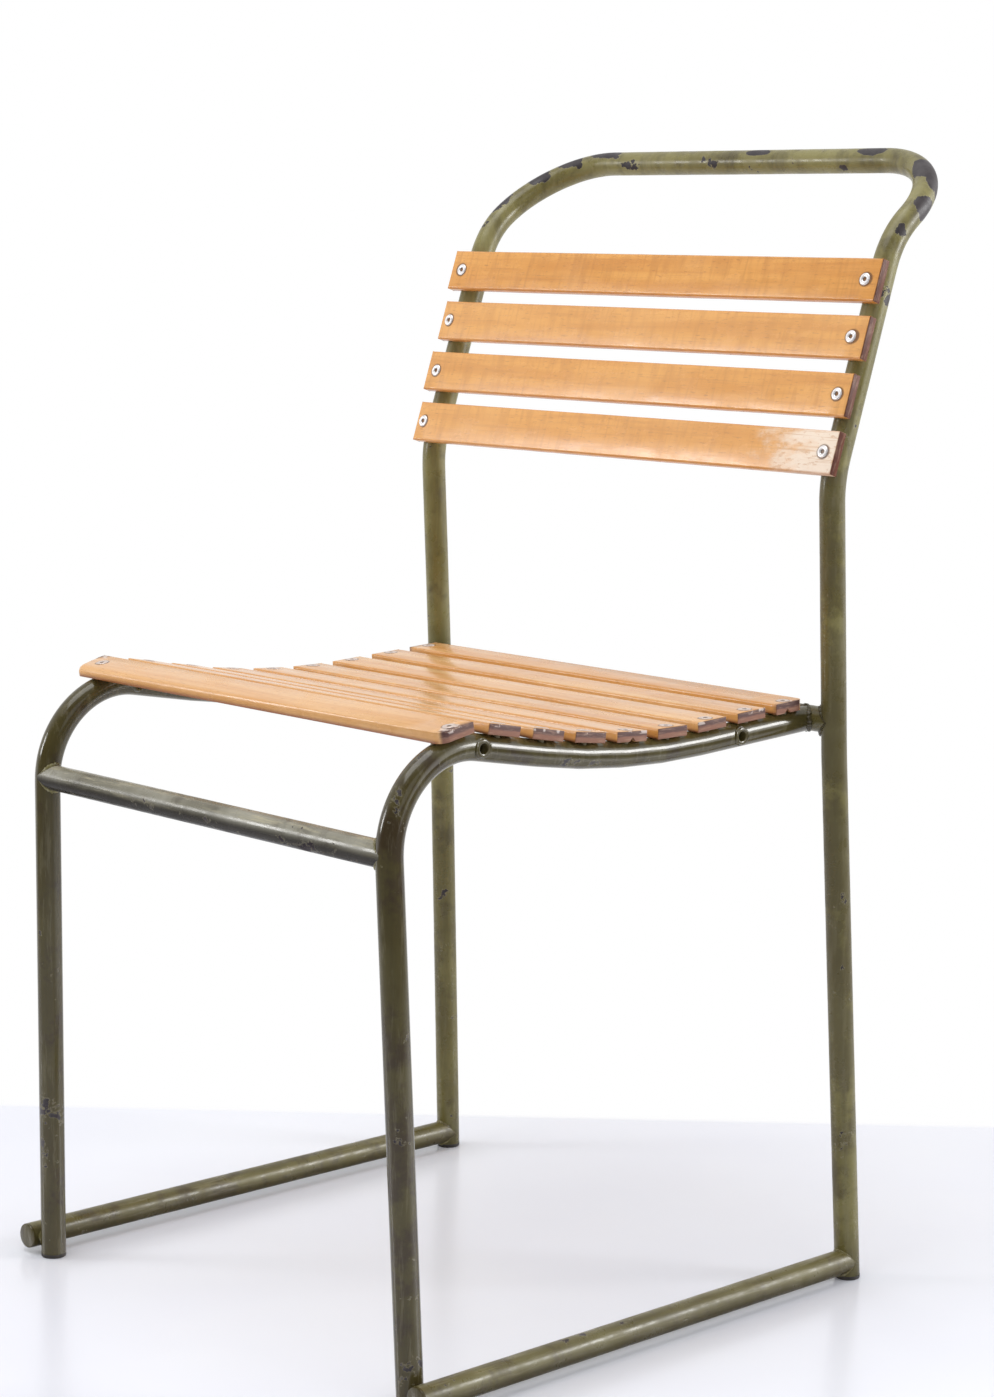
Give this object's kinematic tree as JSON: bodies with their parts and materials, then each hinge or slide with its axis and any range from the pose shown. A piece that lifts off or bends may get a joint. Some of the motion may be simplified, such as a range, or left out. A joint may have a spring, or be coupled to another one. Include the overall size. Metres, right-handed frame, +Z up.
{
  "type": "garden chair",
  "caption": "Upright garden chair: bent tubular steel frame with low side runners, a dished seat and a reclined back of wooden slats fixed with hollow rivets.",
  "frame": {"origin": "on the floor, below the middle of the chair's outline", "axes": "+Z up, the front of the seat towards -Y, +X to the right seen from the front"},
  "size_m": [0.4732, 0.5598, 0.8533],
  "materials": {
    "frame_paint": "worn olive paint over dark steel, semi-gloss",
    "slat_wood": "varnished, glossy",
    "rivet_metal": "dull bare metal",
    "foot_rubber": "matt black"
  },
  "bodies": {
    "root": {"back_frame": "frame_paint", "back_slat_1": "slat_wood", "back_slat_2": "slat_wood", "back_slat_3": "slat_wood", "back_slat_4": "slat_wood", "back_slat_rivets": "rivet_metal", "front_cross_rail": "frame_paint", "front_left_foot_plug": "foot_rubber", "front_left_link_bush": "frame_paint", "front_right_foot_plug": "foot_rubber", "front_right_link_bush": "frame_paint", "left_runner": "frame_paint", "left_runner_plug": "frame_paint", "left_side_tube": "frame_paint", "rear_cross_rail": "frame_paint", "rear_left_foot_plug": "foot_rubber", "rear_left_link_bush": "frame_paint", "rear_right_foot_plug": "foot_rubber", "rear_right_link_bush": "frame_paint", "right_runner": "frame_paint", "right_runner_plug": "frame_paint", "right_side_tube": "frame_paint", "seat_slat_1": "slat_wood", "seat_slat_2": "slat_wood", "seat_slat_3": "slat_wood", "seat_slat_4": "slat_wood", "seat_slat_5": "slat_wood", "seat_slat_6": "slat_wood", "seat_slat_7": "slat_wood", "seat_slat_8": "slat_wood", "seat_slat_9": "slat_wood", "seat_slat_rivets": "rivet_metal"}
  },
  "joints": []
}
